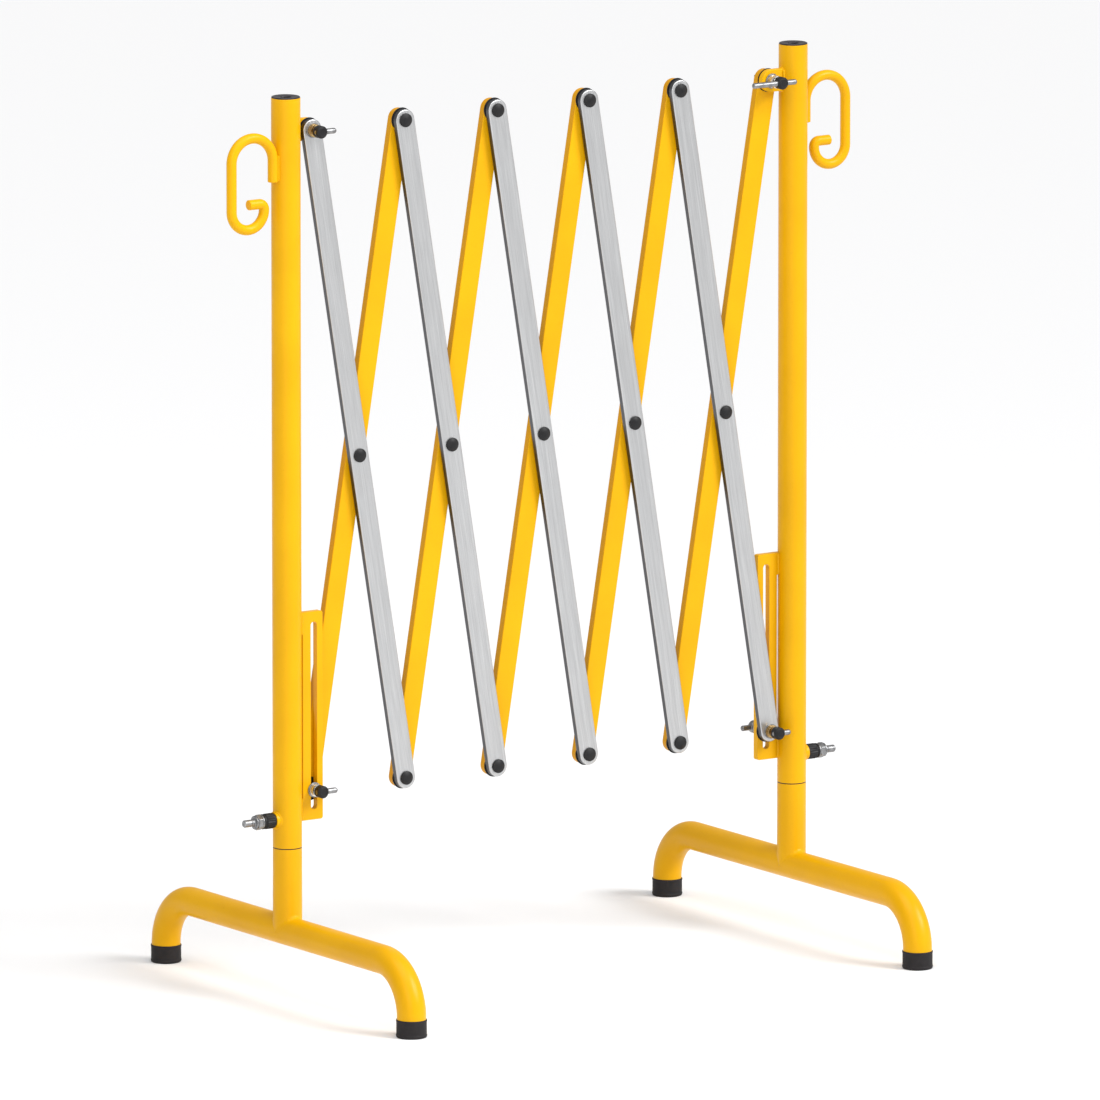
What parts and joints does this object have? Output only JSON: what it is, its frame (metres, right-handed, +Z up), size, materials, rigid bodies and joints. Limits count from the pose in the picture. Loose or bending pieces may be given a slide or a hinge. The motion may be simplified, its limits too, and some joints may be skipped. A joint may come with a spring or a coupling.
{
  "type": "crowd control barrier",
  "caption": "Expanding crowd control barrier: two posts on swivelling feet joined by a scissor lattice of flat bars, with clamp screws, slot guides and linking hooks.",
  "frame": {"origin": "on the floor, midway between the two posts, in the plane of the post axes", "axes": "+X along the barrier from the left post to the right post, -Y towards the side that carries the silver bars, +Z up"},
  "size_m": [0.8692, 0.5516, 1.05],
  "materials": {
    "frame_paint": "yellow powder coat, semi-gloss",
    "yellow_bar": "yellow powder coat, semi-gloss",
    "silver_bar": "brushed along its length",
    "spindle_steel": "turned, zinc plated",
    "washer_plastic": "moulded",
    "cap_plastic": "moulded, fine grain",
    "knob_plastic": "moulded",
    "lever_steel": "zinc plated",
    "screw_steel": "zinc plated",
    "plug_plastic": "moulded",
    "sleeve_plastic": "moulded, ribbed",
    "spring_steel": "bright wire",
    "plunger_steel": "zinc plated",
    "cap_rubber": "matt moulded rubber"
  },
  "bodies": {
    "left_post": {"left_post_tube": "frame_paint", "left_top_lug": "frame_paint", "left_slot_guide": "frame_paint", "left_hook": "frame_paint", "left_post_plug": "plug_plastic", "left_plunger_sleeve": "sleeve_plastic", "left_plunger_spring": "spring_steel"},
    "left_foot": {"left_foot_stem": "frame_paint", "left_foot_bar": "frame_paint", "left_foot_caps": "cap_rubber"},
    "left_plunger": {"left_plunger_pin": "plunger_steel"},
    "right_post": {"right_post_tube": "frame_paint", "right_top_lug": "frame_paint", "right_slot_guide": "frame_paint", "right_hook": "frame_paint", "right_post_plug": "plug_plastic", "right_plunger_sleeve": "sleeve_plastic", "right_plunger_spring": "spring_steel"},
    "right_foot": {"right_foot_stem": "frame_paint", "right_foot_bar": "frame_paint", "right_foot_caps": "cap_rubber"},
    "right_plunger": {"right_plunger_pin": "plunger_steel"},
    "silver_1": {"silver_bar_1": "silver_bar", "spindles_1": "spindle_steel", "washers_1": "washer_plastic", "end_caps_1": "cap_plastic"},
    "yellow_1": {"yellow_bar_1": "yellow_bar"},
    "silver_2": {"silver_bar_2": "silver_bar", "spindles_2": "spindle_steel", "washers_2": "washer_plastic", "end_caps_2": "cap_plastic"},
    "yellow_2": {"yellow_bar_2": "yellow_bar"},
    "silver_3": {"silver_bar_3": "silver_bar", "spindles_3": "spindle_steel", "washers_3": "washer_plastic", "end_caps_3": "cap_plastic"},
    "yellow_3": {"yellow_bar_3": "yellow_bar"},
    "silver_4": {"silver_bar_4": "silver_bar", "spindles_4": "spindle_steel", "washers_4": "washer_plastic", "end_caps_4": "cap_plastic"},
    "yellow_4": {"yellow_bar_4": "yellow_bar"},
    "silver_5": {"silver_bar_5": "silver_bar", "spindles_5": "spindle_steel", "washers_5": "washer_plastic", "end_caps_5": "cap_plastic"},
    "yellow_5": {"yellow_bar_5": "yellow_bar"},
    "left_top_knob": {"left_top_screw": "screw_steel", "left_top_head": "knob_plastic", "left_top_lever": "lever_steel"},
    "left_slot_knob": {"left_slot_screw": "screw_steel", "left_slot_head": "knob_plastic", "left_slot_lever": "lever_steel"},
    "right_top_knob": {"right_top_screw": "screw_steel", "right_top_head": "knob_plastic", "right_top_bar": "lever_steel"},
    "right_slot_knob": {"right_slot_screw": "screw_steel", "right_slot_head": "knob_plastic", "right_slot_levers": "lever_steel"}
  },
  "joints": [
    {"name": "scissor", "type": "hinge", "parent": "left_post", "child": "silver_1", "pos_m": [-0.31726, 0, 1.0085], "axis": [0, -1, 0], "range_deg": [-6.7, 32.6]},
    {"name": "cross_1", "type": "hinge", "parent": "silver_1", "child": "yellow_1", "pos_m": [-0.25381, 0, 0.62522], "axis": [0, -1, 0], "range_deg": [-65.6, 13.8]},
    {"name": "top_pivot_1", "type": "hinge", "parent": "yellow_1", "child": "silver_2", "pos_m": [-0.19036, 0, 1.0085], "axis": [0, -1, 0], "range_deg": [-13.8, 65.6]},
    {"name": "cross_2", "type": "hinge", "parent": "silver_2", "child": "yellow_2", "pos_m": [-0.1269, 0, 0.62522], "axis": [0, -1, 0], "range_deg": [-65.6, 13.8]},
    {"name": "top_pivot_2", "type": "hinge", "parent": "yellow_2", "child": "silver_3", "pos_m": [-0.06345, 0, 1.0085], "axis": [0, -1, 0], "range_deg": [-13.8, 65.6]},
    {"name": "cross_3", "type": "hinge", "parent": "silver_3", "child": "yellow_3", "pos_m": [0, 0, 0.62522], "axis": [0, -1, 0], "range_deg": [-65.6, 13.8]},
    {"name": "top_pivot_3", "type": "hinge", "parent": "yellow_3", "child": "silver_4", "pos_m": [0.06345, 0, 1.0085], "axis": [0, -1, 0], "range_deg": [-13.8, 65.6]},
    {"name": "cross_4", "type": "hinge", "parent": "silver_4", "child": "yellow_4", "pos_m": [0.1269, 0, 0.62522], "axis": [0, -1, 0], "range_deg": [-65.6, 13.8]},
    {"name": "top_pivot_4", "type": "hinge", "parent": "yellow_4", "child": "silver_5", "pos_m": [0.19036, 0, 1.0085], "axis": [0, -1, 0], "range_deg": [-13.8, 65.6]},
    {"name": "cross_5", "type": "hinge", "parent": "silver_5", "child": "yellow_5", "pos_m": [0.25381, 0, 0.62522], "axis": [0, -1, 0], "range_deg": [-65.6, 13.8]},
    {"name": "right_top_pivot", "type": "hinge", "parent": "yellow_5", "child": "right_post", "pos_m": [0.31726, 0, 1.0085], "axis": [0, -1, 0], "range_deg": [-7.1, 33]},
    {"name": "left_foot_swivel", "type": "hinge", "parent": "left_post", "child": "left_foot", "pos_m": [-0.35076, 0, 0.178], "axis": [0, 0, 1], "range_deg": [0, 90]},
    {"name": "left_plunger_pull", "type": "slide", "parent": "left_post", "child": "left_plunger", "axis": [-1, 0, 0], "range_m": [0, 0.005], "stiffness_N_per_m": 1500, "springref_m": -0.004, "deforming": ["left_plunger_spring"]},
    {"name": "right_foot_swivel", "type": "hinge", "parent": "right_post", "child": "right_foot", "pos_m": [0.35076, 0, 0.178], "axis": [0, 0, -1], "range_deg": [0, 90]},
    {"name": "right_plunger_pull", "type": "slide", "parent": "right_post", "child": "right_plunger", "axis": [1, 0, 0], "range_m": [0, 0.005], "stiffness_N_per_m": 1500, "springref_m": -0.004, "deforming": ["right_plunger_spring"]},
    {"name": "left_top_clamp", "type": "hinge", "parent": "left_post", "child": "left_top_knob", "pos_m": [-0.31726, 0, 1.0085], "axis": [0, -1, 0], "continuous": true},
    {"name": "left_slot_clamp", "type": "hinge", "parent": "yellow_1", "child": "left_slot_knob", "pos_m": [-0.31726, 0, 0.24193], "axis": [0, -1, 0], "continuous": true},
    {"name": "right_top_clamp", "type": "hinge", "parent": "right_post", "child": "right_top_knob", "pos_m": [0.31726, 0, 1.0085], "axis": [0, -1, 0], "continuous": true},
    {"name": "right_slot_clamp", "type": "hinge", "parent": "silver_5", "child": "right_slot_knob", "pos_m": [0.31726, 0, 0.24193], "axis": [0, -1, 0], "continuous": true}
  ],
  "couplings": [
    {"joint": "cross_1", "follows": "scissor", "ratio": -2},
    {"joint": "top_pivot_1", "follows": "scissor", "ratio": 2},
    {"joint": "cross_2", "follows": "scissor", "ratio": -2},
    {"joint": "top_pivot_2", "follows": "scissor", "ratio": 2},
    {"joint": "cross_3", "follows": "scissor", "ratio": -2},
    {"joint": "top_pivot_3", "follows": "scissor", "ratio": 2},
    {"joint": "cross_4", "follows": "scissor", "ratio": -2},
    {"joint": "top_pivot_4", "follows": "scissor", "ratio": 2},
    {"joint": "cross_5", "follows": "scissor", "ratio": -2},
    {"joint": "right_top_pivot", "follows": "scissor", "ratio": 1}
  ]
}
